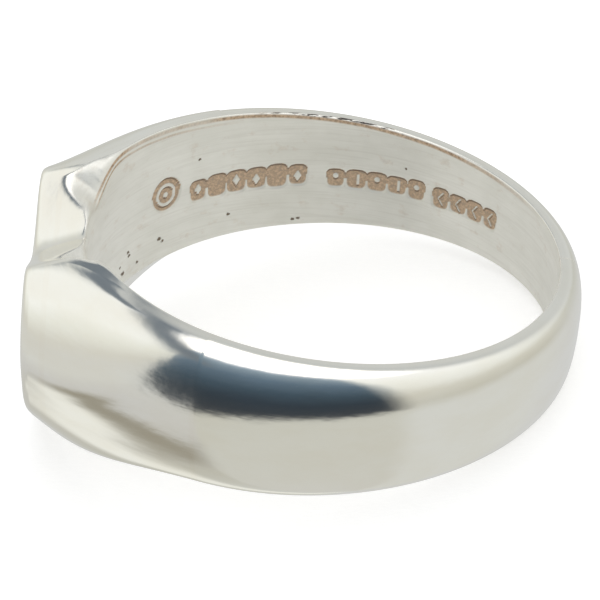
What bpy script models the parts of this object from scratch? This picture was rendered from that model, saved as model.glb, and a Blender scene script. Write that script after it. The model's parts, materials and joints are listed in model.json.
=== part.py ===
"""Heart-shaped signet ring in sterling silver, soldered up from a head, two arms and a heart table.

The ring is worked out square to its finger bore: the bore runs along Z through the origin, the flat
heart table faces -X, and the joint that closes the shank is at +X. An empty then tips the ring over
until it rests on the point of the heart and the back of the shank, which is how it lies on a table.
Sizes are in millimetres. Angles are counted round the bore from the middle of the head, and are
positive on the +Y side, the left of someone who faces the table with the heart upright.
"""

from math import atan2, cos, exp, hypot, log, pi, radians, sin

import bmesh
import bpy
from mathutils import Matrix, Vector

METRES = 0.001  # one millimetre in Blender's unit

# Finger bore and shank
BORE_RADIUS = 8.25
HEAD_HALF_WIDTH = 2.91
SIDE_HALF_WIDTH = 2.32
BACK_HALF_WIDTH = 1.61
SIDE_THICKNESS = 1.26
BACK_THICKNESS = 0.88
DOME_FULLNESS = 2.4  # 2 is an ellipse, and more is squarer
UPPER_LAND = 0.2  # flat left on the upper rim between the bore and the dome
LOWER_LAND = 0.6  # the worn lower rim is wider, and slopes down to the dome
LOWER_SLOPE_DROP = 0.21

# Heart table, with the origin of its outline on the bore's middle plane
HEAD_DEPTH = 1.9  # from the bore to the face of the table
TABLE_REACH = BORE_RADIUS + HEAD_DEPTH
TABLE_THICKNESS = 0.7
LOBE_CENTRE_Y = 2.85
LOBE_CENTRE_Z = -0.2
LOBE_RADIUS = 2.35
LOBE_START = radians(7.0)  # round the lobe from its top to the crest beside the cleft
LOBE_END = radians(110.0)  # and to where the straighter flank begins
FLANK_HANDLE = 2.6
POINT_DROP = 5.6  # from the middle plane down to the point of the heart

# Cleft between the lobes: a shallow V that climbs from the table to the bore
CLEFT_AT_TABLE = 1.0
CLEFT_AT_BORE = 1.65
CLEFT_ROUNDING = 0.3

# Upper rim of the head, worn down where the cleft runs out into the bore
RIM_SLOPE = 0.3
RIM_WEAR = 1.25
WEAR_ANGLE = radians(8.5)
WEAR_REACH = 0.6
RIM_BLEND = 0.08

# Shoulders. Each row of one runs as a smooth curve from the table's edge back into the arm's dome
SHOULDER_ANGLE = radians(64.0)  # where the arms are soldered to the head
CREST_LEAN = -0.3  # how far the rows lean sideways as they leave the table, at the crest
CREST_LEAN_FALL = 4  # and how fast that lean dies away below the crest
POINT_LEAN = 2.1  # the same at the point
POINT_LEAN_FALL = 2
CREST_FLARE = 0.35  # how far the wall spreads behind the table: at the crest, at the side and at the point
SIDE_FLARE = 0.6
POINT_FLARE = -0.4
TABLE_HANDLE = 2.1  # how long the curve holds its direction at the table, and at the arm
ARM_HANDLE = 3.2
RIM_PULL = 12  # how closely only the topmost rows are drawn to the rim's height
FLUTE_DEPTH = 0.16  # a shallow hollow filed along each shoulder, which fades out at the arm
FLUTE_WIDTH = 0.08  # in rows
FLUTE_ROW_AT_TABLE = 0.46
FLUTE_ROW_AT_ARM = 0.28

# Soldered joints
SOLDER_THICKNESS = 0.15
JOINT_CLEARANCE = 0.05

# Facets
DOME_STEPS = 20  # rows over the outside
LOBE_SHARE = 0.5  # of the rows, for the round of a lobe
SHOULDER_STEPS = 16  # from the table to the arm
CLEFT_STEPS = 8  # from the middle of the cleft to its crest
RIM_STEPS = 4  # across the rim
SHANK_STEPS = 26  # along an arm
WELD = 0.0001


def on_circle(radius, angle, height):
    return Vector((-radius * cos(angle), radius * sin(angle), height))


def half_width(angle):
    """Half the width of the band, which narrows from the head round to the back."""
    taper = (HEAD_HALF_WIDTH - BACK_HALF_WIDTH) / 2
    swell = (HEAD_HALF_WIDTH + BACK_HALF_WIDTH) / 2 - SIDE_HALF_WIDTH
    return SIDE_HALF_WIDTH + taper * cos(angle) + swell * cos(angle) ** 2


def thickness(angle):
    return SIDE_THICKNESS + (SIDE_THICKNESS - BACK_THICKNESS) * cos(angle)


def dome_point(angle, row):
    """A point of the arm's domed outside: row 0 is its lower edge and row 1 its upper edge."""
    lift = (row - 0.5) * pi
    out = max(cos(lift), 0.0) ** (2 / DOME_FULLNESS)
    rise = abs(sin(lift)) ** (2 / DOME_FULLNESS)
    land, reach = UPPER_LAND, half_width(angle)
    if row < 0.5:
        land, reach = LOWER_LAND, -half_width(angle) - LOWER_SLOPE_DROP
    radius = BORE_RADIUS + land + (thickness(angle) - land) * out
    return on_circle(radius, angle, reach * rise)


def lobe_point(turn):
    """The heart's outline and its outward normal, as (y, z) pairs, on the round of the left lobe."""
    normal = Vector((sin(turn), cos(turn)))
    return Vector((LOBE_CENTRE_Y, LOBE_CENTRE_Z)) + LOBE_RADIUS * normal, normal


def flank_point(share):
    """The same on the flank, from the end of the lobe at share 0 to the heart's point at share 1."""
    start, outward = lobe_point(LOBE_END)
    handle = start + FLANK_HANDLE * Vector((outward.y, -outward.x))
    point = Vector((0.0, -POINT_DROP))
    place = start.lerp(handle, share).lerp(handle.lerp(point, share), share)
    along = ((handle - start) * (1 - share) + (point - handle) * share).normalized()
    return place, Vector((-along.y, along.x))


def outline(row):
    """The left half of the heart from its point, row 0, to the crest beside the cleft, row 1."""
    if row >= 1 - LOBE_SHARE:
        return lobe_point(LOBE_START + (LOBE_END - LOBE_START) * (1 - row) / LOBE_SHARE)
    return flank_point(1 - row / (1 - LOBE_SHARE))


def rim_height(x, y):
    """Height of the head's upper face, which the cleft and the worn rim are cut into."""
    radius, angle = hypot(x, y), abs(atan2(y, -x))
    crest = outline(1.0)[0]
    opening = hypot(crest.x, CLEFT_ROUNDING) - CLEFT_ROUNDING
    slope = (crest.y - CLEFT_AT_TABLE) / opening
    climb = (x + TABLE_REACH) / (TABLE_REACH - BORE_RADIUS)
    valley = CLEFT_AT_TABLE + (CLEFT_AT_BORE - CLEFT_AT_TABLE) * climb
    cleft = valley + slope * (hypot(y, CLEFT_ROUNDING) - CLEFT_ROUNDING)
    fade = cos(min(angle / SHOULDER_ANGLE, 1.0) * pi / 2)
    worn = RIM_WEAR * exp(-((angle / WEAR_ANGLE) ** 2)) * exp(-(radius - BORE_RADIUS) / WEAR_REACH)
    face = half_width(angle) - RIM_SLOPE * fade * (radius - BORE_RADIUS) - worn
    return -RIM_BLEND * log(exp(-cleft / RIM_BLEND) + exp(-face / RIM_BLEND))


def flare(normal):
    """How far the head's wall spreads for each millimetre behind the table."""
    tilt = normal.y
    turn = (CREST_FLARE - POINT_FLARE) / 2
    bend = (CREST_FLARE + POINT_FLARE) / 2 - SIDE_FLARE
    return SIDE_FLARE + turn * tilt + bend * tilt**2


def shoulder_point(row, share):
    """The left shoulder, from the heart's outline at share 0 to the arm's dome at share 1."""
    edge, normal = outline(row)
    table = Vector((-TABLE_REACH, edge.x, edge.y))
    spread = flare(normal)
    lean = CREST_LEAN * row**CREST_LEAN_FALL + POINT_LEAN * (1 - row) ** POINT_LEAN_FALL
    leave = Vector((1.0, spread * normal.x + lean, spread * normal.y))
    arm = dome_point(SHOULDER_ANGLE, row)
    ahead = dome_point(SHOULDER_ANGLE + radians(1.0), row)
    arrive = (ahead - arm).normalized()
    near, far = table + TABLE_HANDLE * leave, arm - ARM_HANDLE * arrive
    first, last = table.lerp(near, share), far.lerp(arm, share)
    middle = near.lerp(far, share)
    place = first.lerp(middle, share).lerp(middle.lerp(last, share), share)
    flute_row = FLUTE_ROW_AT_TABLE + (FLUTE_ROW_AT_ARM - FLUTE_ROW_AT_TABLE) * share
    flute = FLUTE_DEPTH * (1 - share) * exp(-(((row - flute_row) / FLUTE_WIDTH) ** 2))
    place -= flute * Vector((0.0, normal.x, normal.y))
    rim = rim_height(place.x, place.y)
    place.z += (rim - place.z) * row**RIM_PULL
    return place


def add_strip(mesh, first, second):
    """Fills between two rows of points, leaving out what closes to nothing."""
    for i in range(len(first) - 1):
        corners = []
        for point in (first[i], first[i + 1], second[i + 1], second[i]):
            if all((point - other).length > WELD for other in corners):
                corners.append(point)
        if len(corners) > 2:
            mesh.faces.new([mesh.verts.new(point) for point in corners])


def closed(mesh):
    """Welds the strips into one skin, caps what is still open, and turns the faces outwards."""
    bmesh.ops.remove_doubles(mesh, verts=mesh.verts, dist=WELD)
    open_edges = [edge for edge in mesh.edges if edge.is_boundary]
    if open_edges:
        bmesh.ops.edgeloop_fill(mesh, edges=open_edges)
    bmesh.ops.recalc_face_normals(mesh, faces=mesh.faces)
    return mesh


def head_blank():
    """The head and both shoulders in one, before the table is parted from it."""
    mesh = bmesh.new()
    rows = [i / DOME_STEPS for i in range(DOME_STEPS + 1)]
    shares = [i / SHOULDER_STEPS for i in range(SHOULDER_STEPS + 1)]
    grid = [[shoulder_point(row, share) for share in shares] for row in rows]
    for lower, upper in zip(grid, grid[1:]):
        add_strip(mesh, lower, upper)

    crest = grid[-1][0]
    cleft = []
    for i in range(CLEFT_STEPS):
        y = crest.y * i / CLEFT_STEPS
        cleft.append(Vector((-TABLE_REACH, y, rim_height(-TABLE_REACH, y))))
    outer = cleft + grid[-1]
    angles = [atan2(point.y, -point.x) for point in outer]
    rim = []
    for step in range(RIM_STEPS + 1):
        line = []
        for angle, point in zip(angles, outer):
            place = on_circle(BORE_RADIUS, angle, 0).lerp(point, step / RIM_STEPS)
            line.append(Vector((place.x, place.y, rim_height(place.x, place.y))))
        rim.append(line)
    rim[-1] = outer
    for inner, next_out in zip(rim, rim[1:]):
        add_strip(mesh, inner, next_out)

    lower_rim = [on_circle(BORE_RADIUS, angle, -half_width(angle)) for angle in angles]
    add_strip(mesh, lower_rim, rim[0])
    under = [grid[0][0]] * CLEFT_STEPS + grid[0]
    add_strip(mesh, under, lower_rim)
    bmesh.ops.mirror(mesh, geom=mesh.faces[:] + mesh.edges[:] + mesh.verts[:], axis="Y", merge_dist=WELD)
    bmesh.ops.remove_doubles(mesh, verts=mesh.verts, dist=WELD)
    return closed(mesh)


def cut(mesh, place, towards):
    """Parts the metal at a plane, keeps the side that `towards` points to, and closes it flat."""
    parted = bmesh.ops.bisect_plane(
        mesh,
        geom=mesh.verts[:] + mesh.edges[:] + mesh.faces[:],
        plane_co=place,
        plane_no=towards,
        dist=WELD,
        clear_inner=True,
    )
    edges = [item for item in parted["geom_cut"] if isinstance(item, bmesh.types.BMEdge)]
    bmesh.ops.edgeloop_fill(mesh, edges=edges)
    bmesh.ops.recalc_face_normals(mesh, faces=mesh.faces)
    return mesh


def arm_blank(start, end, steps):
    """A length of the D-section arm between two angles."""
    mesh = bmesh.new()
    loops = []
    for i in range(steps + 1):
        angle = start + (end - start) * i / steps
        width = half_width(angle)
        loop = [dome_point(angle, row / DOME_STEPS) for row in range(DOME_STEPS + 1)]
        loop.append(on_circle(BORE_RADIUS, angle, width))
        loop.append(on_circle(BORE_RADIUS, angle, -width))
        loops.append(loop + loop[:1])
    for first, second in zip(loops, loops[1:]):
        add_strip(mesh, first, second)
    return closed(mesh)


def silver(name, colour, roughness):
    material = bpy.data.materials.new(name)
    material.use_nodes = True
    shader = material.node_tree.nodes["Principled BSDF"]
    shader.inputs["Base Color"].default_value = (*colour, 1.0)
    shader.inputs["Roughness"].default_value = roughness
    shader.inputs["Metallic"].default_value = 1.0
    return material


def add_piece(name, mesh, material, parent):
    """Makes one named piece from a mesh in millimetres and hangs it on the ring's empty."""
    mesh.transform(Matrix.Scale(METRES, 4))
    data = bpy.data.meshes.new(name)
    mesh.to_mesh(data)
    mesh.free()
    data.materials.append(material)
    data.shade_smooth()
    data.set_sharp_from_angle(angle=radians(30.0))
    piece = bpy.data.objects.new(name, data)
    bpy.context.scene.collection.objects.link(piece)
    piece.parent = parent
    return piece


def ring_axis():
    """The empty on the finger bore's axis, tipped and raised so that the ring rests on z = 0."""
    back_rim = BORE_RADIUS + LOWER_LAND
    tip_over = atan2(POINT_DROP - BACK_HALF_WIDTH - LOWER_SLOPE_DROP, TABLE_REACH + back_rim)
    axis = bpy.data.objects.new("ring_axis", None)
    bpy.context.scene.collection.objects.link(axis)
    turn = Matrix.Rotation(tip_over, 4, "Y")
    axis.matrix_world = turn
    return axis


def set_down(axis, pieces):
    """Moves the ring so that its lowest point is at z = 0 and its box is centred over the origin."""
    bpy.context.view_layer.update()
    corners = [piece.matrix_world @ v.co for piece in pieces for v in piece.data.vertices]
    low = Vector(min(corner[i] for corner in corners) for i in range(3))
    high = Vector(max(corner[i] for corner in corners) for i in range(3))
    centre = (low + high) / 2
    axis.location = Vector((-centre.x, -centre.y, -low.z))


def main():
    for old in list(bpy.data.objects):
        bpy.data.objects.remove(old)
    polished = silver("polished_silver", (0.9, 0.89, 0.86), 0.12)
    table_finish = silver("table_silver", (0.88, 0.87, 0.84), 0.18)
    solder = silver("silver_solder", (0.8, 0.78, 0.7), 0.3)
    axis = ring_axis()
    pieces = []

    # The table, the solder under it and the head are parted by planes square to X
    step = SOLDER_THICKNESS + 2 * JOINT_CLEARANCE
    table_back = -TABLE_REACH + TABLE_THICKNESS
    forwards, backwards = Vector((-1, 0, 0)), Vector((1, 0, 0))
    table = cut(head_blank(), Vector((table_back, 0, 0)), forwards)
    pieces.append(add_piece("signet_table", table, table_finish, axis))
    bed = cut(head_blank(), Vector((table_back + JOINT_CLEARANCE, 0, 0)), backwards)
    bed = cut(bed, Vector((table_back + step - JOINT_CLEARANCE, 0, 0)), forwards)
    pieces.append(add_piece("table_solder", bed, solder, axis))

    # A joint takes up this much of the circle at the middle of the band's thickness
    middle = BORE_RADIUS + thickness(SHOULDER_ANGLE) / 2
    gap = JOINT_CLEARANCE / middle
    seam = SOLDER_THICKNESS / middle
    head = cut(head_blank(), Vector((table_back + step, 0, 0)), backwards)
    trim = SHOULDER_ANGLE - seam / 2 - gap
    for side in (1, -1):
        head = cut(head, Vector(), Vector((-sin(trim), -side * cos(trim), 0)))
    pieces.append(add_piece("ring_head", head, polished, axis))

    start = SHOULDER_ANGLE + seam / 2 + gap
    end = pi - seam / 2 - gap
    for side, name in ((1, "left"), (-1, "right")):
        joint = arm_blank(side * (SHOULDER_ANGLE - seam / 2), side * (SHOULDER_ANGLE + seam / 2), 1)
        pieces.append(add_piece(f"{name}_shoulder_solder", joint, solder, axis))
        arm = arm_blank(side * start, side * end, SHANK_STEPS)
        pieces.append(add_piece(f"{name}_shank_arm", arm, polished, axis))
    closing = arm_blank(pi - seam / 2, pi + seam / 2, 1)
    pieces.append(add_piece("closing_solder", closing, solder, axis))
    set_down(axis, pieces)


main()
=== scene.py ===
"""The looks of the heart signet ring: worn, polished sterling silver, made up piece by piece."""

import json
from math import atan2, cos, exp, hypot, log, pi, radians, sin

import bmesh
import bpy
from mathutils import Matrix, Vector
from mathutils.bvhtree import BVHTree


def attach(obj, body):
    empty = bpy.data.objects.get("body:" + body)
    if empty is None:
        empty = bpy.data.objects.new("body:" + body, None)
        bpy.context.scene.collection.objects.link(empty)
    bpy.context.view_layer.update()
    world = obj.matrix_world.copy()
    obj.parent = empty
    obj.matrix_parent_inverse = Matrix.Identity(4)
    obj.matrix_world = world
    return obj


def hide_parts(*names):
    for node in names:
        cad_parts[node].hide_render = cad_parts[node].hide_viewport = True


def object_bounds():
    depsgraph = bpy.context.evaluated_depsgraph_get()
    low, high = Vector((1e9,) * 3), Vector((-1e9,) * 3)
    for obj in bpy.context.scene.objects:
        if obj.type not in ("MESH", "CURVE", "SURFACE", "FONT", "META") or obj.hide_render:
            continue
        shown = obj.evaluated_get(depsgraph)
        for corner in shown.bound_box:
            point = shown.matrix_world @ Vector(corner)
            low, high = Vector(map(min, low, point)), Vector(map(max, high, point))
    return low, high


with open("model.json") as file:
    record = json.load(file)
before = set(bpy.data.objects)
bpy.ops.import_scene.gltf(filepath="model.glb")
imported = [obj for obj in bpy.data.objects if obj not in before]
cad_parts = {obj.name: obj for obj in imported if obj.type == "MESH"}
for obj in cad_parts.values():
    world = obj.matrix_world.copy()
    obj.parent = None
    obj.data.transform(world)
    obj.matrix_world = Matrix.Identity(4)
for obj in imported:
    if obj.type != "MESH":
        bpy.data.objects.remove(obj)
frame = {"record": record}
cad_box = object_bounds()

# The ring's place. It lies tipped over, on the point of the heart and the back of its band. Each piece is
# worked in millimetres and square to the finger bore, as on a mandrel: the bore along Z, the heart's flat
# face at -X. `lying` then lays it down where the frame has it, found from the face that the record states.
MM = 0.001
WITHIN_CAD = 0.999  # keeps the looks just inside the box of the CAD
FACE_REACH = 10.15
FACE_CENTRE_Z = -1.6
face = next(mount for mount in frame["record"]["mounts"] if mount["name"] == "signet_table")
lean = atan2(face["axis"][2], -face["axis"][0])
turned = Matrix.Rotation(lean, 4, "Y") @ Matrix.Scale(MM, 4)
lying = Matrix.Translation(Vector(face["pos_m"]) - turned @ Vector((-FACE_REACH, 0, FACE_CENTRE_Z))) @ turned
middle = (Vector(cad_box[0]) + Vector(cad_box[1])) / 2
lying = Matrix.Translation(middle) @ Matrix.Scale(WITHIN_CAD, 4) @ Matrix.Translation(-middle) @ lying


# The band. Two D-section arms of sterling silver, rolled flat inside and domed outside, are bent up round the
# finger size and soldered to the head. They are widest and thickest at the shoulders, and thin at the back.
BORE_RADIUS = 8.25
HEAD_HALF_WIDTH = 2.91
SIDE_HALF_WIDTH = 2.32
BACK_HALF_WIDTH = 1.61
SIDE_THICKNESS = 1.26
BACK_THICKNESS = 0.88
DOME_FULLNESS = 2.4
UPPER_LAND = 0.2
LOWER_LAND = 0.6
LOWER_SLOPE_DROP = 0.21
SHOULDER_ANGLE = radians(64)
SEAM_WIDTH = 0.2
SEAM_DEPTH = 0.55  # the seam is that wide at this depth in the wall
SEAM = SEAM_WIDTH / (BORE_RADIUS + SEAM_DEPTH)  # a soldered joint's share of the circle, in radians
LIP = 0.09  # worn round of the bore's two rims
LIP_SHARE = 0.45  # but no more than this share of the land
WORN_WIDTH = 1.05  # where the cleft's crests run out to the bore, fingers have worn a wide slope instead
WORN_SHARE = 0.6
WORN_FLATNESS = 0.8
WORN_SLOPE = 0.95
WORN_AT = radians(17)
WORN_SPREAD = radians(7)
LIP_ROWS = 8
FIELD_FOOT = -1.0  # the marks are struck between these heights, where the wall's skin is finest
FIELD_HEAD = 0.75
FIELD_ROWS = 44
PLAIN_ROWS = 9
ARM_UNDER_ROWS = 8
ARM_LAND_ROWS = 4
DOME_ROWS = 100
EDGE_CROWDING = 0.5  # rows lie closer together where the metal turns over an edge
OVERLENGTH = radians(2)  # each blank is sawn back by this much, so that its skin runs on past the cut


def on_circle(radius, angle, height):
    return Vector((-radius * cos(angle), radius * sin(angle), height))


def half_width(angle):
    taper = (HEAD_HALF_WIDTH - BACK_HALF_WIDTH) / 2
    swell = (HEAD_HALF_WIDTH + BACK_HALF_WIDTH) / 2 - SIDE_HALF_WIDTH
    return SIDE_HALF_WIDTH + taper * cos(angle) + swell * cos(angle) ** 2


def thickness(angle):
    return SIDE_THICKNESS + (SIDE_THICKNESS - BACK_THICKNESS) * cos(angle)


def dome_point(angle, row):
    """The arm's outside, from its lower edge, row 0, over the dome to its upper edge, row 1."""
    lift = (row - 0.5) * pi
    out = max(cos(lift), 0.0) ** (2 / DOME_FULLNESS)
    rise = abs(sin(lift)) ** (2 / DOME_FULLNESS)
    land, reach = UPPER_LAND, half_width(angle)
    if row < 0.5:
        land, reach = LOWER_LAND, -half_width(angle) - LOWER_SLOPE_DROP
    return on_circle(BORE_RADIUS + land + (thickness(angle) - land) * out, angle, reach * rise)


def spread(count):
    """Shares from 0 to 1, crowded towards both ends."""
    return [i / count - EDGE_CROWDING * sin(2 * pi * i / count) / (2 * pi) for i in range(count + 1)]


ROWS = spread(DOME_ROWS)


def slope_wear(angle):
    return exp(-(((abs(angle) - WORN_AT) / WORN_SPREAD) ** 2))


def rounded(near, corner, far):
    """The worn round between two faces that meet at a corner."""
    shares = [i / LIP_ROWS for i in range(LIP_ROWS + 1)]
    return [near.lerp(corner, s).lerp(corner.lerp(far, s), s) for s in shares]


# The marks struck inside the band say nothing: a target, then three rows of pads with lozenges, dots and
# bars, and chevrons left standing in them. The punches overlap a little, and tarnish has settled in them.
MARK_DEPTH = 0.07
MARK_BEVEL = 0.05
MARK_HEEL = 0.15  # the punches were held aslant, so their lower edges are shallow
PAD_SQUARENESS = 3.5
PAD_OVERLAP = 1.14
PAD_UNEVENNESS = 0.07
MARK_MARGIN = 1.1
TARGET_RING = 0.4
TARGET_RING_HALF = 0.085
TARGET_DOT = 0.13
TARGET_HEIGHT = 0.9  # how much of the strike's depth a figure left standing takes up
FIGURE_HEIGHT = 0.85
RIDGE = 0.035  # between one punch and the next
RIDGE_HEIGHT = 0.8
PAINTED_SHADE_REACH = 0.08  # how far below a strike's upper edge its painted shade reaches
MARKS = (
    # kind, first and last angle in degrees, height of its middle at each end, half height, number of pads
    ("target", 41.5, 51.6, -0.08, -0.08, 0.74, 1),
    ("lozenges", 54.2, 87.2, -0.38, -0.2, 0.52, 6),
    ("dots_and_bars", 91.7, 119.0, -0.3, -0.18, 0.45, 5),
    ("chevrons", 120.7, 142.2, -0.24, -0.1, 0.46, 4),
)


def ramp(value, start, end):
    share = min(max((value - start) / (end - start), 0.0), 1.0)
    return share * share * (3 - 2 * share)


def standing(kind, index, x, up):
    """The small figures that are left standing in the pads."""
    if kind == "lozenges":
        figure = ramp(0.17 - abs(x) - 0.6 * abs(up - 0.05 * (-1) ** index), 0, MARK_BEVEL)
        return figure if index % 3 != 1 else 0.0
    if kind == "dots_and_bars":
        figure = min(0.07 - abs(x - 0.06), 0.24 - abs(up)) if index % 2 else 0.13 - hypot(x, up - 0.1)
        return ramp(figure, 0, MARK_BEVEL)
    return ramp(0.06 - abs(0.7 * abs(up) - x - 0.1), 0, MARK_BEVEL) * ramp(0.3 - abs(up), 0, MARK_BEVEL)


def mark_sink(angle, height):
    """How far the strike has sunk the wall at this place, in millimetres."""
    for kind, first, last, low, high, reach, count in MARKS:
        along = BORE_RADIUS * (angle - radians(first))
        length = BORE_RADIUS * radians(last - first)
        up = height - low - (high - low) * along / length
        if not 0 < along < length or abs(up) > MARK_MARGIN * reach:
            continue
        bevel = MARK_BEVEL if up > 0 else MARK_HEEL
        if kind == "target":
            r = hypot(along - length / 2, up * (length / 2) / reach)
            ring = ramp(TARGET_RING_HALF - abs(r - TARGET_RING), 0, MARK_BEVEL)
            figure = max(ring, ramp(TARGET_DOT - r, 0, MARK_BEVEL))
            return MARK_DEPTH * ramp(length / 2 - r, 0, bevel) * (1 - TARGET_HEIGHT * figure)
        pitch = length / count
        sunk = 0.0
        for index in range(count):
            x = along - (index + 0.5) * pitch
            half = pitch / 2 * (PAD_OVERLAP if 0 < index < count - 1 else 1.0)
            tall = reach * (1 + PAD_UNEVENNESS * sin(2.7 * index + first))
            share = abs(x / half) ** PAD_SQUARENESS + abs(up / tall) ** PAD_SQUARENESS
            share = share ** (1 / PAD_SQUARENESS)
            pad = ramp((1 - share) * tall, 0, bevel) * (1 - FIGURE_HEIGHT * standing(kind, index, x, up))
            sunk = max(sunk, pad)
        from_join = pitch / 2 - abs(along % pitch - pitch / 2)
        ridge = ramp(RIDGE - from_join, 0, RIDGE) * ramp(0.1 * reach - up, 0, 0.4 * reach)
        return MARK_DEPTH * sunk * (1 - RIDGE_HEIGHT * ridge)
    return 0.0


def inner_run(angle, keel, crest, top_height, under_rows, land_rows):
    """From the outside's lower edge in under the band, up the bore's wall and out to its upper edge."""
    lower = on_circle(BORE_RADIUS, angle, -half_width(angle))
    inward = keel - lower
    upper = on_circle(BORE_RADIUS, angle, 0)
    upper.z = top_height(upper.x, upper.y)
    width = hypot(crest.x - upper.x, crest.y - upper.y)
    reach = min(LIP, LIP_SHARE * width)
    wear = slope_wear(angle)
    worn_width = min(LIP + WORN_WIDTH * wear, WORN_SHARE * width)
    worn_depth = reach + (WORN_SLOPE * WORN_WIDTH - LIP) * wear

    def top(share):
        place = upper.lerp(crest, share)
        place.z = top_height(place.x, place.y)
        return place

    under_edge = lower + inward.normalized() * reach
    under = [keel.lerp(under_edge, share) for share in spread(under_rows)]
    lower_lip = rounded(under_edge, lower, lower + Vector((0, 0, reach)))
    start = worn_width / width
    low_end, high_end = upper - Vector((0, 0, worn_depth)), top(start)
    upper_lip = rounded(low_end, upper.lerp((low_end + high_end) / 2, WORN_FLATNESS * wear), high_end)
    foot, head = lower_lip[-1].z, upper_lip[0].z
    heights = [foot + (FIELD_FOOT - foot) * i / PLAIN_ROWS for i in range(PLAIN_ROWS)]
    heights += [FIELD_FOOT + (FIELD_HEAD - FIELD_FOOT) * i / FIELD_ROWS for i in range(FIELD_ROWS)]
    heights += [FIELD_HEAD + (head - FIELD_HEAD) * i / PLAIN_ROWS for i in range(PLAIN_ROWS)]
    wall = [on_circle(BORE_RADIUS + mark_sink(angle, height), angle, height) for height in heights]
    land = [top(start + (1 - start) * share) for share in spread(land_rows)[1:-1]]
    return under[:-1] + lower_lip[:-1] + wall + upper_lip + land + [crest]


def arm_height(x, y):
    return half_width(atan2(y, -x))


def arm_section(angle):
    """One closed section of the arm."""
    dome = [dome_point(angle, share) for share in ROWS]
    run = inner_run(angle, dome[0], dome[-1], arm_height, ARM_UNDER_ROWS, ARM_LAND_ROWS)
    return run + dome[-2::-1]


class Skin:
    """A mesh in which each place has one corner, so that strips laid side by side are joined."""

    def __init__(self):
        self.mesh = bmesh.new()
        self.corners = {}

    def corner(self, point):
        key = (round(point.x, 5), round(point.y, 5), round(point.z, 5))
        if key not in self.corners:
            self.corners[key] = self.mesh.verts.new(point)
        return self.corners[key]

    def strip(self, first, second):
        """Fills between two rows of points, leaving out what closes to nothing."""
        for i in range(len(first) - 1):
            around = []
            for point in (first[i], first[i + 1], second[i + 1], second[i]):
                here = self.corner(point)
                if here not in around:
                    around.append(here)
            if len(around) > 2:
                self.mesh.faces.new(around)

    def closed(self):
        """Caps the open ends and turns every face outwards."""
        ends = [edge for edge in self.mesh.edges if edge.is_boundary]
        if ends:
            bmesh.ops.edgeloop_fill(self.mesh, edges=ends)
        bmesh.ops.recalc_face_normals(self.mesh, faces=self.mesh.faces)
        return self.mesh


def arm_blank(start, end, step):
    skin = Skin()
    count = max(int(abs(end - start) * BORE_RADIUS / step), 4)
    rings = [arm_section(start + (end - start) * i / count) for i in range(count + 1)]
    for first, second in zip(rings, rings[1:]):
        skin.strip(first, second)
    return skin.closed()


def worn_round(mesh, sharper_than, passes, reach, outside, behind):
    """Wears crisp edges round, as tumbling and years on a finger do, outside a radius and less and less
    towards the arms, where it ends between the two places along X that `behind` gives."""

    def taken(place):
        return hypot(place.x, place.y) > outside and place.x < behind[0]

    edges = [edge for edge in mesh.edges if len(edge.link_faces) == 2]
    edges = [edge for edge in edges if edge.calc_face_angle() > sharper_than]
    crisp = {v for edge in edges for v in edge.verts if taken(v.co)}
    for _ in range(reach):
        beside = {edge.other_vert(v) for v in crisp for edge in v.link_edges}
        crisp |= {v for v in beside if taken(v.co)}
    for i in range(passes):
        limit = behind[0] + (behind[1] - behind[0]) * i / passes
        crisp = [v for v in crisp if v.co.x < limit]
        bmesh.ops.smooth_vert(
            mesh, verts=crisp, factor=0.5, use_axis_x=True, use_axis_y=True, use_axis_z=True
        )


HAIR = 1e-6  # nothing this small counts, in millimetres


def sawn(mesh, cuts):
    """Saws a blank at each plane and keeps the side that the plane's direction points to."""
    mesh = mesh.copy()
    for place, towards in cuts:
        parted = bmesh.ops.bisect_plane(
            mesh,
            geom=mesh.verts[:] + mesh.edges[:] + mesh.faces[:],
            plane_co=place,
            plane_no=towards,
            dist=HAIR,
            clear_inner=True,
        )
        edges = [item for item in parted["geom_cut"] if isinstance(item, bmesh.types.BMEdge)]
        bmesh.ops.edgeloop_fill(mesh, edges=edges)
    return mesh


def radial_cut(angle, towards):
    """A cut across the band at this angle that keeps the metal towards growing (1) or falling (-1) angles."""
    return Vector(), towards * Vector((sin(angle), cos(angle), 0))


def blank_normals(mesh, blank):
    """The blank's own normals at a sawn piece's corners, so that polished joints show no step."""
    blank.normal_update()
    whole = BVHTree.FromBMesh(blank)
    blank.faces.ensure_lookup_table()
    normals = []
    for v in mesh.verts:
        place, _, index, _ = whole.find_nearest(v.co)
        near = blank.faces[index].verts
        weights = [1 / ((corner.co - place).length + HAIR) ** 2 for corner in near]
        normals.append(sum((w * corner.normal for w, corner in zip(weights, near)), Vector()).normalized())
    return normals


SATIN_START = 0.85  # over the worn slope the bore's satin runs out between these shares of its width
SATIN_END = 1.25


def surface_places(mesh, top_height):
    """For each corner: its place on the band unrolled, with its radius; and how far it is inside the bore,
    how deep in a strike plus the painted shade under a strike's upper edge, and how far below the upper rim."""
    wrap, finish = [], []
    for v in mesh.verts:
        radius, angle = hypot(v.co.x, v.co.y), atan2(v.co.y, -v.co.x)
        wrap += [angle * BORE_RADIUS, v.co.z, radius]
        near_wall = radius < BORE_RADIUS + 2 * MARK_DEPTH
        sunk = mark_sink(angle, v.co.z) / MARK_DEPTH if near_wall else 0.0
        # Painted shade: the floor of a strike just under its upper edge is marked, so that it is painted
        # darker there.
        painted_shade = 0.0
        if sunk > 0.5:
            painted_shade = sunk - min(mark_sink(angle, v.co.z + PAINTED_SHADE_REACH) / MARK_DEPTH, sunk)
        worn = WORN_WIDTH * slope_wear(angle) if v.co.z > 0 else 0.0
        inside = 1.0
        if sunk <= 0:
            inside = 1 - ramp(radius - BORE_RADIUS, SATIN_START * worn, LIP + SATIN_END * worn)
        below_rim = top_height(v.co.x, v.co.y) - v.co.z - (radius - BORE_RADIUS) - 0.5 * worn
        finish += [inside, sunk + painted_shade, below_rim]
    return wrap, finish


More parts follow.
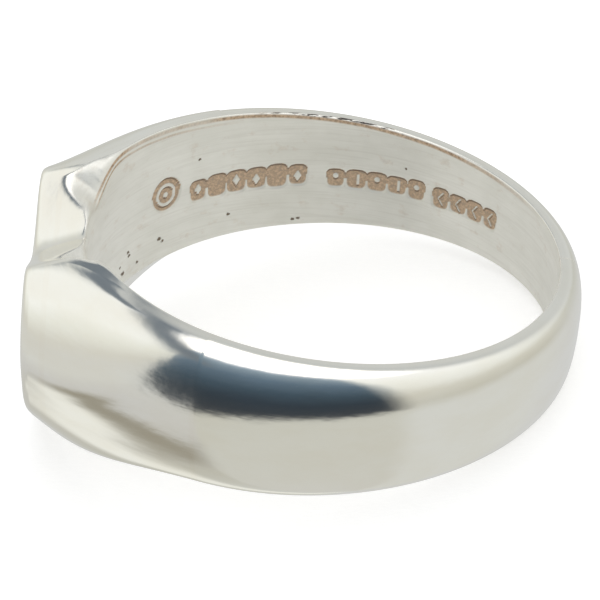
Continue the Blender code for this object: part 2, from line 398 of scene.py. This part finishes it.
def finished(name, mesh, blank, top_height, material, *nodes):
    """Lays the sawn piece down where the ring lies and puts it in place of its CAD nodes."""
    normals = blank_normals(mesh, blank)
    wrap, finish = surface_places(mesh, top_height)
    rotation = lying.to_quaternion()
    mesh.transform(lying)
    data = bpy.data.meshes.new(name)
    mesh.to_mesh(data)
    mesh.free()
    data.shade_smooth()
    data.normals_split_custom_set_from_vertices([rotation @ normal for normal in normals])
    data.attributes.new("wrap", "FLOAT_VECTOR", "POINT").data.foreach_set("vector", wrap)
    data.attributes.new("finish", "FLOAT_VECTOR", "POINT").data.foreach_set("vector", finish)
    data.materials.append(material)
    piece = bpy.data.objects.new(name, data)
    bpy.context.scene.collection.objects.link(piece)
    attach(piece, "root")
    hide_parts(*nodes)
    return piece


def add(tree, kind, inputs, **settings):
    """Adds a shader node, with its settings, and its inputs as values or as links from other nodes."""
    made = tree.nodes.new(f"ShaderNode{kind}")
    for key, value in settings.items():
        setattr(made, key, value)
    for key, value in inputs.items():
        if isinstance(value, bpy.types.NodeSocket):
            tree.links.new(value, made.inputs[key])
        else:
            made.inputs[key].default_value = value
    return made


def maths(tree, operation, *values):
    return add(tree, "Math", dict(enumerate(values)), operation=operation).outputs[0]


def eased(tree, value, start, end, low=0.0, high=1.0):
    """Eases from low to high as the value goes from start to end."""
    inputs = {"Value": value, "From Min": start, "From Max": end, "To Min": low, "To Max": high}
    return add(tree, "MapRange", inputs, interpolation_type="SMOOTHSTEP").outputs[0]


def grain(tree, place, stretch, scale, detail, roughness=0.5, turn=0.0):
    """Noise in millimetres, drawn out along the band where stretch is below 1, and turned for cross lines."""
    laid = add(tree, "Mapping", {"Vector": place, "Rotation": (0, 0, turn), "Scale": stretch}).outputs[0]
    inputs = {"Vector": laid, "Scale": scale, "Detail": detail, "Roughness": roughness}
    return add(tree, "TexNoise", inputs).outputs[0]


def mixed(tree, share, first, second):
    """Mixes two colours."""
    return add(tree, "Mix", {0: share, 6: first, 7: second}, data_type="RGBA").outputs[2]


def new_group(name, inputs, outputs):
    """An effect that several finishes share, with its named inputs and outputs."""
    tree = bpy.data.node_groups.new(name, "ShaderNodeTree")
    for kind, sockets in (("INPUT", inputs), ("OUTPUT", outputs)):
        for title, form in sockets.items():
            tree.interface.new_socket(title, in_out=kind, socket_type=f"NodeSocket{form}")
    start, end = tree.nodes.new("NodeGroupInput"), tree.nodes.new("NodeGroupOutput")
    return tree, start.outputs, end.inputs


# Hand polish. The mop leaves the surface softly uneven, and wear adds hairlines that run mostly round the
# band, with finer ones across. One group gives it to every finish of silver.
hand_polish, given, put_out = new_group(
    "hand_polish",
    {"Place": "Vector", "Wave": "Float", "Hairlines": "Float", "Cross Lines": "Float"},
    {"Height": "Float", "Cloud": "Float", "Fine": "Float"},
)
tree = hand_polish
wave = grain(tree, given["Place"], (0.7, 1.0, 1.0), 0.55, 2.0)
ripple = grain(tree, given["Place"], (0.8, 1.3, 1.3), 2.2, 1.5)
round_lines = grain(tree, given["Place"], (0.35, 13.0, 13.0), 1.0, 3.0, 0.65)
cross_lines = grain(tree, given["Place"], (0.5, 10.0, 4.0), 1.0, 2.0, 0.6, turn=radians(57))
back_lines = grain(tree, given["Place"], (0.5, 9.0, 4.0), 1.0, 2.0, 0.6, turn=radians(-38))
mottle = grain(tree, given["Place"], (1.0, 1.6, 1.6), 5.0, 2.0)
uneven = maths(tree, "MULTIPLY_ADD", ripple, 0.24, wave)
uneven = maths(tree, "MULTIPLY_ADD", mottle, 0.03, uneven)
height = maths(tree, "MULTIPLY", uneven, given["Wave"])
height = maths(tree, "MULTIPLY_ADD", round_lines, given["Hairlines"], height)
crossing = maths(tree, "ADD", cross_lines, back_lines)
height = maths(tree, "MULTIPLY_ADD", crossing, given["Cross Lines"], height)
tree.links.new(height, put_out["Height"])
tree.links.new(grain(tree, given["Place"], (0.5, 1.0, 1.0), 0.9, 4.0, 0.6), put_out["Cloud"])
fine_round, fine_across = maths(tree, "MULTIPLY", round_lines, 0.6), maths(tree, "MULTIPLY", crossing, 0.2)
scratched = maths(tree, "ADD", fine_round, fine_across)
tree.links.new(scratched, put_out["Fine"])

# Tarnish, with painted shade. Brown sulphide stays where no cloth reaches: in the strikes of the marks, and
# in a line or two under the bore's upper rim, with a few black flecks on the rim itself. Just under the
# strikes' upper edges a near-black brown is painted in as shade.
tarnish_and_shade, given, put_out = new_group(
    "tarnish_and_shade",
    {"Place": "Vector", "Inside": "Float", "Sunk And Shade": "Float", "Below Rim": "Float"},
    {"Mask": "Float", "Colour": "Color", "Height": "Float"},
)
tree = tarnish_and_shade
speckle = grain(tree, given["Place"], (1.0, 1.0, 1.0), 9.0, 3.0, 0.7)
patches = grain(tree, given["Place"], (0.6, 1.0, 1.0), 0.55, 3.0, 0.6)
place = add(tree, "SeparateXYZ", {0: given["Place"]}).outputs
strike = eased(tree, given["Sunk And Shade"], 0.4, 0.9)
strike = maths(tree, "MULTIPLY", strike, eased(tree, speckle, 0.2, 0.55, 0.72, 1.0))
wander = maths(tree, "MULTIPLY", maths(tree, "SUBTRACT", patches, 0.5), 0.1)
depth = maths(tree, "ADD", given["Below Rim"], wander)
line = eased(tree, maths(tree, "ABSOLUTE", maths(tree, "SUBTRACT", depth, 0.12)), 0.11, 0.03)
second = eased(tree, maths(tree, "ABSOLUTE", maths(tree, "SUBTRACT", depth, 0.34)), 0.07, 0.02)
second = maths(tree, "MULTIPLY", second, eased(tree, place[0], 10.5, 6.5))
stretch = maths(tree, "MULTIPLY", eased(tree, place[0], 1.6, 3.2), eased(tree, place[0], 24.0, 18.0))
line = maths(tree, "MULTIPLY", maths(tree, "MAXIMUM", line, second), stretch)
line = maths(tree, "MULTIPLY", line, eased(tree, patches, 0.3, 0.55, 0.45, 1.0))
chips = grain(tree, given["Place"], (1.0, 6.0, 6.0), 2.4, 2.0, 0.6)
fleck = maths(tree, "MULTIPLY", eased(tree, chips, 0.5, 0.58), eased(tree, place[0], 10.0, 11.5))
fleck = maths(tree, "MULTIPLY", fleck, eased(tree, place[0], 16.8, 15.0))
edge = eased(tree, maths(tree, "ABSOLUTE", maths(tree, "ADD", given["Below Rim"], 0.03)), 0.11, 0.05)
fleck = maths(tree, "MULTIPLY", fleck, edge)
near_bore = eased(tree, place[2], BORE_RADIUS + 0.7, BORE_RADIUS + 0.45)
line = maths(tree, "MULTIPLY", line, near_bore)
fleck = maths(tree, "MULTIPLY", fleck, near_bore)
stain = grain(tree, given["Place"], (0.7, 1.0, 1.0), 1.7, 4.0, 0.65)
stain = maths(tree, "MULTIPLY", eased(tree, stain, 0.56, 0.72), 0.22)
stain = maths(tree, "MULTIPLY", stain, given["Inside"])
mask = maths(tree, "MAXIMUM", maths(tree, "MAXIMUM", strike, line), maths(tree, "MAXIMUM", fleck, stain))
brown = add(tree, "ValToRGB", {"Fac": speckle})
brown.color_ramp.elements[0].position = 0.25
brown.color_ramp.elements[0].color = (0.25, 0.165, 0.105, 1)
brown.color_ramp.elements[1].position = 0.62
brown.color_ramp.elements[1].color = (0.66, 0.50, 0.355, 1)
tree.links.new(mask, put_out["Mask"])
# Painted shade: past 1, Sunk carries the shade under a strike's upper edge, painted as near-black brown.
painted_shade = eased(tree, given["Sunk And Shade"], 1.05, 1.7, 0.0, 0.75)
colour = mixed(tree, painted_shade, brown.outputs[0], (0.12, 0.08, 0.055, 1))
tree.links.new(mixed(tree, fleck, colour, (0.07, 0.06, 0.055, 1)), put_out["Colour"])
tree.links.new(maths(tree, "MULTIPLY", speckle, mask), put_out["Height"])


# Casting pits. Gas in the melt left a few dark pinholes, most of them low on the bore's wall. Each is one use
# of this group, at its own place and size.
pit, given, put_out = new_group(
    "pit",
    {"Place": "Vector", "Along": "Float", "Up": "Float", "Size": "Float"},
    {"Mask": "Float"},
)
tree = pit
x, y, z = add(tree, "SeparateXYZ", {0: given["Place"]}).outputs
ragged = maths(tree, "SUBTRACT", grain(tree, given["Place"], (1.0, 1.0, 1.0), 12.0, 2.0), 0.5)
aside = maths(tree, "MULTIPLY", maths(tree, "SUBTRACT", x, given["Along"]), 0.8)
above = maths(tree, "SUBTRACT", y, given["Up"])
squared = maths(tree, "ADD", maths(tree, "POWER", aside, 2.0), maths(tree, "POWER", above, 2.0))
away = maths(tree, "SQRT", squared)
away = maths(tree, "MULTIPLY_ADD", ragged, 0.12, away)
floor_of_pit = maths(tree, "MULTIPLY", given["Size"], 0.45)
tree.links.new(eased(tree, away, given["Size"], floor_of_pit), put_out["Mask"])
PITS = (
    # angle round the bore in degrees, height, size
    (44.4, -1.85, 0.1), (45.6, -1.99, 0.07), (32.3, -1.68, 0.08), (32.8, -1.84, 0.08), (30.0, -2.42, 0.11),
    (36.2, -2.35, 0.07), (28.6, -2.08, 0.06), (66.0, -1.66, 0.07), (83.7, -2.14, 0.08), (85.2, -2.1, 0.07),
    (113.0, 0.62, 0.05), (57.0, 0.98, 0.07),
)


MATTE = 0.5  # the bore is left as the burr left it, so half of it scatters like frosting
FROSTED = (0.83, 0.82, 0.765, 1.0)
FROSTED_DULL = (0.76, 0.75, 0.69, 1.0)
SCRATCHED = (0.66, 0.64, 0.58, 1.0)
PIT_BROWN = (0.17, 0.13, 0.09, 1.0)
TARNISH_ROUGHNESS = 0.62


def silver(name, colour, warm, polish, satin, wave, hairlines, cross_lines):
    """A silver finish: `polish` and `satin` are its roughness on the outside and inside the bore."""
    material = bpy.data.materials.new(name)
    material.use_nodes = True
    tree = material.node_tree
    shader = tree.nodes["Principled BSDF"]
    place = add(tree, "Attribute", {}, attribute_name="wrap").outputs["Vector"]
    finish = add(tree, "Attribute", {}, attribute_name="finish").outputs["Vector"]
    # The second value is the depth in a strike plus the painted shade under its upper edge.
    inside, sunk, below_rim = add(tree, "SeparateXYZ", {0: finish}).outputs
    lines = {"Place": place, "Wave": wave, "Hairlines": hairlines, "Cross Lines": cross_lines}
    worked = add(tree, "Group", lines, node_tree=hand_polish).outputs
    corners = {"Place": place, "Inside": inside, "Sunk And Shade": sunk, "Below Rim": below_rim}
    stain_and_shade = add(tree, "Group", corners, node_tree=tarnish_and_shade).outputs
    cloud = eased(tree, worked["Cloud"], 0.3, 0.7)
    tone = mixed(tree, cloud, (*colour, 1.0), (*warm, 1.0))
    tone = mixed(tree, inside, tone, mixed(tree, cloud, FROSTED, FROSTED_DULL))
    worn = maths(tree, "MULTIPLY", inside, eased(tree, worked["Fine"], 0.3, 0.55, 0.5, 0.0))
    tone = mixed(tree, worn, tone, SCRATCHED)
    # Tarnish colour, with painted shade under the strikes' upper edges.
    tone = mixed(tree, stain_and_shade["Mask"], tone, stain_and_shade["Colour"])
    holes = 0.0
    for angle, up, size in PITS:
        spot = {"Place": place, "Along": BORE_RADIUS * radians(angle), "Up": up, "Size": size}
        holes = maths(tree, "MAXIMUM", add(tree, "Group", spot, node_tree=pit).outputs[0], holes)
    holes = maths(tree, "MULTIPLY", holes, inside)
    tree.links.new(mixed(tree, holes, tone, PIT_BROWN), shader.inputs["Base Color"])
    smooth_part = maths(tree, "MULTIPLY_ADD", worked["Fine"], 0.08, polish - 0.04)
    satin_part = maths(tree, "MULTIPLY_ADD", worked["Fine"], 0.2, satin - 0.1)
    rough = add(tree, "Mix", {0: inside, 2: smooth_part, 3: satin_part}).outputs[0]
    rough = add(tree, "Mix", {0: stain_and_shade["Mask"], 2: rough, 3: TARNISH_ROUGHNESS}).outputs[0]
    tree.links.new(rough, shader.inputs["Roughness"])
    dull = maths(tree, "MULTIPLY", inside, -MATTE)
    tree.links.new(maths(tree, "ADD", dull, 1.0), shader.inputs["Metallic"])
    height = maths(tree, "MULTIPLY_ADD", stain_and_shade["Height"], 0.02, worked["Height"])
    height = maths(tree, "MULTIPLY_ADD", holes, -0.03, height)
    bump = add(tree, "Bump", {"Height": height, "Distance": MM, "Strength": 1.0}).outputs[0]
    tree.links.new(bump, shader.inputs["Normal"])
    return material


polished = silver(
    "polished_silver",
    colour=(0.95, 0.935, 0.89),
    warm=(0.93, 0.905, 0.84),
    polish=0.1,
    satin=0.36,
    wave=0.014,
    hairlines=0.0005,
    cross_lines=0.0003,
)
joint_half = SEAM / 2
FINE_STEP = 0.045  # the left arm carries the marks, so its rings lie closer together
PLAIN_STEP = 0.1
for side, name, step in ((1, "left_shank_arm", FINE_STEP), (-1, "right_shank_arm", PLAIN_STEP)):
    start, end = SHOULDER_ANGLE + joint_half, pi - joint_half
    blank = arm_blank(side * (start - OVERLENGTH), side * (end + OVERLENGTH), step)
    arm = sawn(blank, [radial_cut(side * start, side), radial_cut(side * end, -side)])
    arm = finished(f"{name}_finished", arm, blank, arm_height, polished, name)
    blank.free()


# The head. One casting carries the two lobes, the cleft between them and the shoulders that run out into the
# arms. It is filed to the heart's outline, fluted low on each shoulder, and worn down where the cleft meets
# the bore.
LOBE_CENTRE_Y = 2.85
LOBE_CENTRE_Z = -0.2
LOBE_RADIUS = 2.35
LOBE_START = radians(7)
LOBE_END = radians(110)
LOBE_SHARE = 0.5
FLANK_HANDLE = 2.6
POINT_DROP = 5.6
CLEFT_AT_FACE = 1.0
CLEFT_AT_BORE = 1.65
CLEFT_ROUNDING = 0.8
RIM_SLOPE = 0.3
RIM_WEAR = 1.25
WEAR_ANGLE = radians(8.5)
WEAR_REACH = 0.6
RIM_BLEND = 0.08
CREST_LEAN = -0.3
CREST_LEAN_FALL = 4
POINT_LEAN = 2.1
POINT_LEAN_FALL = 2
RIM_PULL = 12  # how closely only the topmost rows are drawn to the rim's height
CREST_FLARE = 0.35
SIDE_FLARE = 0.6
POINT_FLARE = -0.4
FACE_HANDLE = 2.1
ARM_HANDLE = 3.2
FLUTE_DEPTH = 0.16
FLUTE_WIDTH = 0.08
FLUTE_ROW_AT_FACE = 0.46
FLUTE_ROW_AT_ARM = 0.28
SHOULDER_STEPS = 150
CLEFT_STEPS = 60
TAIL_STEPS = 6
HEAD_UNDER_ROWS = 14
HEAD_LAND_ROWS = 20
FACE_RINGS = (0.0, 0.008, 0.018, 0.032, 0.055, 0.1, 0.3, 0.6, 1.0)  # shares of the way in from the rim


def lobe_point(turn):
    """The heart's outline and its outward normal, as (y, z) pairs, on the round of the left lobe."""
    normal = Vector((sin(turn), cos(turn)))
    return Vector((LOBE_CENTRE_Y, LOBE_CENTRE_Z)) + LOBE_RADIUS * normal, normal


def flank_point(share):
    start, outward = lobe_point(LOBE_END)
    handle = start + FLANK_HANDLE * Vector((outward.y, -outward.x))
    point = Vector((0.0, -POINT_DROP))
    place = start.lerp(handle, share).lerp(handle.lerp(point, share), share)
    along = ((handle - start) * (1 - share) + (point - handle) * share).normalized()
    return place, Vector((-along.y, along.x))


def outline(row):
    """The left half of the heart from its point, row 0, to the crest beside the cleft, row 1."""
    if row >= 1 - LOBE_SHARE:
        return lobe_point(LOBE_START + (LOBE_END - LOBE_START) * (1 - row) / LOBE_SHARE)
    return flank_point(1 - row / (1 - LOBE_SHARE))


def rim_height(x, y):
    """Height of the head's upper face, which the cleft and the worn rim are cut into."""
    radius, angle = hypot(x, y), abs(atan2(y, -x))
    crest = outline(1.0)[0]
    opening = hypot(crest.x, CLEFT_ROUNDING) - CLEFT_ROUNDING
    slope = (crest.y - CLEFT_AT_FACE) / opening
    climb = (x + FACE_REACH) / (FACE_REACH - BORE_RADIUS)
    valley = CLEFT_AT_FACE + (CLEFT_AT_BORE - CLEFT_AT_FACE) * climb
    cleft = valley + slope * (hypot(y, CLEFT_ROUNDING) - CLEFT_ROUNDING)
    fade = cos(min(angle / SHOULDER_ANGLE, 1.0) * pi / 2)
    worn = RIM_WEAR * exp(-((angle / WEAR_ANGLE) ** 2)) * exp(-(radius - BORE_RADIUS) / WEAR_REACH)
    top = half_width(angle) - RIM_SLOPE * fade * (radius - BORE_RADIUS) - worn
    return -RIM_BLEND * log(exp(-cleft / RIM_BLEND) + exp(-top / RIM_BLEND))


def flare(normal):
    """How far the head's wall spreads for each millimetre behind the face."""
    tilt = normal.y
    turn = (CREST_FLARE - POINT_FLARE) / 2
    bend = (CREST_FLARE + POINT_FLARE) / 2 - SIDE_FLARE
    return SIDE_FLARE + turn * tilt + bend * tilt**2


def shoulder_point(row, share):
    """The left shoulder, from the heart's outline at share 0 to the arm's dome at share 1."""
    edge, normal = outline(row)
    rim = Vector((-FACE_REACH, edge.x, edge.y))
    sideways = flare(normal)
    rise = CREST_LEAN * row**CREST_LEAN_FALL + POINT_LEAN * (1 - row) ** POINT_LEAN_FALL
    leave = Vector((1.0, sideways * normal.x + rise, sideways * normal.y))
    arm = dome_point(SHOULDER_ANGLE, row)
    ahead, behind = (dome_point(SHOULDER_ANGLE + turn, row) for turn in (OVERLENGTH, -OVERLENGTH))
    arrive = (ahead - behind).normalized()
    near, far = rim + FACE_HANDLE * leave, arm - ARM_HANDLE * arrive
    first, last = rim.lerp(near, share), far.lerp(arm, share)
    middle = near.lerp(far, share)
    place = first.lerp(middle, share).lerp(middle.lerp(last, share), share)
    flute_row = FLUTE_ROW_AT_FACE + (FLUTE_ROW_AT_ARM - FLUTE_ROW_AT_FACE) * share
    flute = FLUTE_DEPTH * (1 - share) * exp(-(((row - flute_row) / FLUTE_WIDTH) ** 2))
    place -= flute * Vector((0.0, normal.x, normal.y))
    place.z += (rim_height(place.x, place.y) - place.z) * row**RIM_PULL
    return place


def mirrored(points):
    return [Vector((point.x, -point.y, point.z)) for point in points]


def head_blank():
    """The head with its face still on and a stub of each arm, in one skin."""
    point = Vector((-FACE_REACH, 0, -POINT_DROP))
    rim = [shoulder_point(row, 0.0) for row in ROWS]
    crest = rim[-1]
    cleft = [crest.y * i / CLEFT_STEPS for i in range(CLEFT_STEPS)]
    cleft = [Vector((-FACE_REACH, y, rim_height(-FACE_REACH, y))) for y in cleft]
    skin = Skin()
    for side in (1, -1):
        fronts, loops = [], []
        for edge in cleft + [crest]:
            angle = side * atan2(edge.y, -edge.x)
            place = Vector((edge.x, side * edge.y, edge.z))
            fronts.append(inner_run(angle, point, place, rim_height, HEAD_UNDER_ROWS, HEAD_LAND_ROWS))
        for i in range(SHOULDER_STEPS + 1):
            wall = [shoulder_point(row, i / SHOULDER_STEPS) for row in ROWS]
            angle = side * atan2(wall[-1].y, -wall[-1].x)
            wall = wall if side > 0 else mirrored(wall)
            run = inner_run(angle, wall[0], wall[-1], rim_height, HEAD_UNDER_ROWS, HEAD_LAND_ROWS)
            loops.append(run + wall[-2::-1])
        for i in range(1, TAIL_STEPS + 1):
            angle = side * (SHOULDER_ANGLE + OVERLENGTH * i / TAIL_STEPS)
            wall = [dome_point(angle, row) for row in ROWS]
            run = inner_run(angle, wall[0], wall[-1], rim_height, HEAD_UNDER_ROWS, HEAD_LAND_ROWS)
            loops.append(run + wall[-2::-1])
        for lines in (fronts, loops):
            for first, second in zip(lines, lines[1:]):
                skin.strip(first, second)
    half = cleft + rim[::-1]
    around = half + mirrored(half[-2::-1])
    centre = Vector((-FACE_REACH, 0, FACE_CENTRE_Z))
    rings = [[place.lerp(centre, share) for place in around] for share in FACE_RINGS]
    for first, second in zip(rings, rings[1:]):
        skin.strip(first, second)
    return skin.closed()


head = head_blank()
worn_round(
    head,
    sharper_than=radians(10),
    passes=40,
    reach=6,
    outside=BORE_RADIUS + 0.25,
    behind=(-4.2, -7.0),
)
FACE_THICKNESS = 0.7
SOLDER_BED = 0.2
HALF_GAP = 0.025  # half of what the CAD leaves open at a joint, and solder fills here
bed_front = -FACE_REACH + FACE_THICKNESS + HALF_GAP
bed_back = bed_front + SOLDER_BED
forwards, backwards = Vector((-1, 0, 0)), Vector((1, 0, 0))
trims = [radial_cut(side * (SHOULDER_ANGLE - joint_half), -side) for side in (1, -1)]
ring_head = sawn(head, [(Vector((bed_back, 0, 0)), backwards)] + trims)
ring_head = finished("ring_head_finished", ring_head, head, rim_height, polished, "ring_head")


# The signet table. A heart-shaped plate of sterling silver, 0.7 mm thick, is soldered flat on the head and
# filed to the same outline. Its face takes the knocks, so it has more scratches that run across.
table = silver(
    "table_silver",
    colour=(0.95, 0.935, 0.89),
    warm=(0.93, 0.905, 0.84),
    polish=0.115,
    satin=0.36,
    wave=0.017,
    hairlines=0.0005,
    cross_lines=0.0008,
)
plate = sawn(head, [(Vector((bed_front, 0, 0)), forwards)])
plate = finished("signet_table_finished", plate, head, rim_height, table, "signet_table")


# The soldered joints. Hard silver solder, a little yellower than the silver, fills the bed under the table,
# the two joints at the shoulders and the one at the back. All are filed and polished flush.
solder = silver(
    "silver_solder",
    colour=(0.945, 0.925, 0.875),
    warm=(0.925, 0.895, 0.825),
    polish=0.105,
    satin=0.37,
    wave=0.014,
    hairlines=0.0005,
    cross_lines=0.0003,
)
bed = sawn(head, [(Vector((bed_front, 0, 0)), backwards), (Vector((bed_back, 0, 0)), forwards)])
bed = finished("table_solder_finished", bed, head, rim_height, solder, "table_solder")
for side, name in ((1, "left_shoulder_solder"), (-1, "right_shoulder_solder")):
    low, high = SHOULDER_ANGLE - joint_half, SHOULDER_ANGLE + joint_half
    joint = sawn(head, [radial_cut(side * low, side), radial_cut(side * high, -side)])
    joint = finished(f"{name}_finished", joint, head, rim_height, solder, name)
blank = arm_blank(pi - joint_half - OVERLENGTH, pi + joint_half + OVERLENGTH, FINE_STEP)
closing = sawn(blank, [radial_cut(pi - joint_half, 1), radial_cut(pi + joint_half, -1)])
closing = finished("closing_solder_finished", closing, blank, arm_height, solder, "closing_solder")
blank.free()
head.free()


# The floor. A sheet of pale, matt paper with a fine grain. It glows a little, so that the ring's shadow on it
# stays faint, and it is left out of reflections: the lower half of the studio stands for it there.
PAPER_REACH = 1.0
PAPER_GLOW = 0.4
PAPER_PRESSED = 0.00002
ground = bpy.data.meshes.new("floor")
corners = [(x * PAPER_REACH, y * PAPER_REACH, 0) for x, y in ((-1, -1), (1, -1), (1, 1), (-1, 1))]
ground.from_pydata(corners, [], [(0, 1, 2, 3)])
ground = bpy.data.objects.new("floor", ground)
bpy.context.scene.collection.objects.link(ground)
paper = bpy.data.materials.new("paper")
paper.use_nodes = True
tree = paper.node_tree
shader = tree.nodes["Principled BSDF"]
shader.inputs["Emission Color"].default_value = (1, 1, 1, 1)
shader.inputs["Emission Strength"].default_value = PAPER_GLOW
lying_flat = add(tree, "TexCoord", {}).outputs["Object"]
fibres = grain(tree, lying_flat, (1.0, 1.6, 1.0), 2500.0, 4.0, 0.6)
tone = mixed(tree, fibres, (0.785, 0.785, 0.785, 1), (0.815, 0.815, 0.815, 1))
tree.links.new(tone, shader.inputs["Base Color"])
pressed = add(tree, "Bump", {"Height": fibres, "Distance": PAPER_PRESSED, "Strength": 0.5}).outputs[0]
tree.links.new(pressed, shader.inputs["Normal"])
ground.data.materials.append(paper)
ground.visible_glossy = False


# The studio. Soft white light from all round, as from a tent. Polished metal shows what stands round it, so
# its reflections alone see four walls in their own tones, the light overhead and the dark gaps between them.
SILVER = (0.95, 0.935, 0.89)
WHITE = (1.0, 1.0, 1.0, 1.0)
OVERHEAD = (1.5, 1.5, 1.5, 1.0)
OVERHEAD_SIDE = (0.84, -0.46, 0.28)
world = bpy.data.worlds.new("studio")
world.use_nodes = True
world.cycles.sampling_method = "NONE"
bpy.context.scene.world = world
bpy.context.scene.view_settings.view_transform = "Standard"
tree = world.node_tree
towards = add(tree, "TexCoord", {}).outputs["Generated"]
x, y, z = add(tree, "SeparateXYZ", {0: towards}).outputs
turn = maths(tree, "DEGREES", maths(tree, "ARCTAN2", x, maths(tree, "MULTIPLY", y, -1.0)))
rise = maths(tree, "DEGREES", maths(tree, "ARCSINE", z))


def light(*tone):
    """The light that shows as this tone, out of 255, in silver."""
    return [(value / 255) ** 2.2 / share for value, share in zip(tone, SILVER)] + [1.0]


def wall(*stops):
    """One side of the studio, as its tones from the floor up, each with its height in degrees."""
    made = add(tree, "ValToRGB", {"Fac": maths(tree, "MULTIPLY_ADD", rise, 1 / 180, 0.5)})
    elements = made.color_ramp.elements
    while len(elements) < len(stops):
        elements.new(0.5)
    for element, (height, *_) in zip(elements, stops):
        element.position = (height + 90) / 180
    for element, (_, *tone) in zip(elements, stops):
        element.color = light(*tone)
    return made.outputs[0]


def within(*edges):
    """The part of the studio inside all these edges, each a value eased from one place to another."""
    mask = eased(tree, *edges[0])
    for edge in edges[1:]:
        mask = maths(tree, "MULTIPLY", mask, eased(tree, *edge))
    return mask


def away_from(value, middle):
    return maths(tree, "ABSOLUTE", maths(tree, "SUBTRACT", value, middle))


front = wall((-90, 200, 199, 191), (-24, 197, 196, 184), (-20, 60, 64, 68), (-8, 55, 63, 70), (6, 68, 82, 92),
             (27, 96, 113, 126), (44, 132, 148, 158), (50, 168, 180, 190), (56, 255, 255, 255))
right = wall((-90, 206, 206, 198), (-28, 206, 206, 198), (-18, 193, 191, 178), (-4, 205, 203, 190),
             (13, 229, 229, 219), (36, 241, 241, 232), (57, 250, 250, 246), (66, 262, 262, 262))
back = wall((-90, 203, 203, 199), (-30, 203, 203, 198), (0, 192, 192, 182), (14, 204, 205, 199),
            (27, 199, 200, 194), (42, 190, 192, 188), (50, 204, 205, 200), (57, 258, 258, 255))
left = wall((-90, 205, 206, 200), (-50, 186, 184, 171), (-28, 197, 196, 190), (-12, 207, 207, 199),
            (5, 206, 205, 196), (15, 208, 206, 194), (30, 228, 228, 216), (45, 243, 243, 234),
            (70, 240, 238, 228))
slanted = maths(tree, "MULTIPLY_ADD", rise, -0.085, turn)
studio = mixed(tree, eased(tree, slanted, -50.2, -48.2), left, front)
studio = mixed(tree, eased(tree, turn, 27.0, 43.0), studio, right)
studio = mixed(tree, eased(tree, turn, 100.0, 145.0), studio, back)
studio = mixed(tree, eased(tree, turn, -150.0, -172.0), studio, back)
aside = add(tree, "VectorMath", {0: towards, 1: OVERHEAD_SIDE}, operation="DOT_PRODUCT").outputs["Value"]
studio = mixed(tree, within((aside, 0.0, 0.08), (rise, 49.0, 57.0)), studio, OVERHEAD)
gap = within((away_from(aside, -0.03), 0.14, 0.02), (rise, 24.0, 34.0), (x, 0.15, 0.0))
corner = within((away_from(turn, -168.0), 8.0, 3.0), (rise, 26.0, 40.0), (rise, 62.0, 54.0))
studio = mixed(tree, maths(tree, "MAXIMUM", gap, corner), studio, light(112, 120, 126))

# The ring's own shade on the floor beside it, and the bright paper beyond that.
shade = within((rise, -30.0, -36.0), (rise, -50.0, -37.0), (turn, -46.0, -62.0), (turn, -104.0, -78.0))
studio = mixed(tree, shade, studio, light(150, 145, 130))
bright = within((turn, -72.0, -98.0), (turn, -140.0, -114.0), (rise, -37.0, -46.0))
studio = mixed(tree, bright, studio, light(231, 230, 219))
mirrored_ray = add(tree, "LightPath", {}).outputs["Is Glossy Ray"]
tree.links.new(mixed(tree, mirrored_ray, WHITE, studio), tree.nodes["Background"].inputs["Color"])


# The camera. A long lens, about five times the ring's width away, looks down into the bore from the side. Its
# place is worked out in millimetres and square to the bore, and laid down with the ring.
CAMERA_TURN = radians(-2.0)
CAMERA_RISE = radians(32.09)
CAMERA_ROLL = radians(3.667)
CAMERA_DISTANCE = 93.08
CAMERA_AIM = (0.729, 0.5005)
SENSOR = 36.0
LENS = 158.9
NEAREST_SEEN = 0.001
outwards = Vector(
    (sin(CAMERA_TURN) * cos(CAMERA_RISE), -cos(CAMERA_TURN) * cos(CAMERA_RISE), sin(CAMERA_RISE))
)
level = Vector((cos(CAMERA_TURN), sin(CAMERA_TURN), 0))
upright = outwards.cross(level)
across = cos(CAMERA_ROLL) * level + sin(CAMERA_ROLL) * upright
above = cos(CAMERA_ROLL) * upright - sin(CAMERA_ROLL) * level
stand = CAMERA_DISTANCE * outwards - CAMERA_AIM[0] * across - CAMERA_AIM[1] * above
tipped = lying.to_quaternion().to_matrix()
lens = bpy.data.cameras.new("camera")
lens.sensor_width = SENSOR
lens.lens = LENS
lens.clip_start = NEAREST_SEEN
camera = bpy.data.objects.new("camera", lens)
bpy.context.scene.collection.objects.link(camera)
pose = Matrix([tipped @ across, tipped @ above, tipped @ outwards]).transposed().to_4x4()
pose.translation = lying @ stand
camera.matrix_world = pose
bpy.context.scene.camera = camera
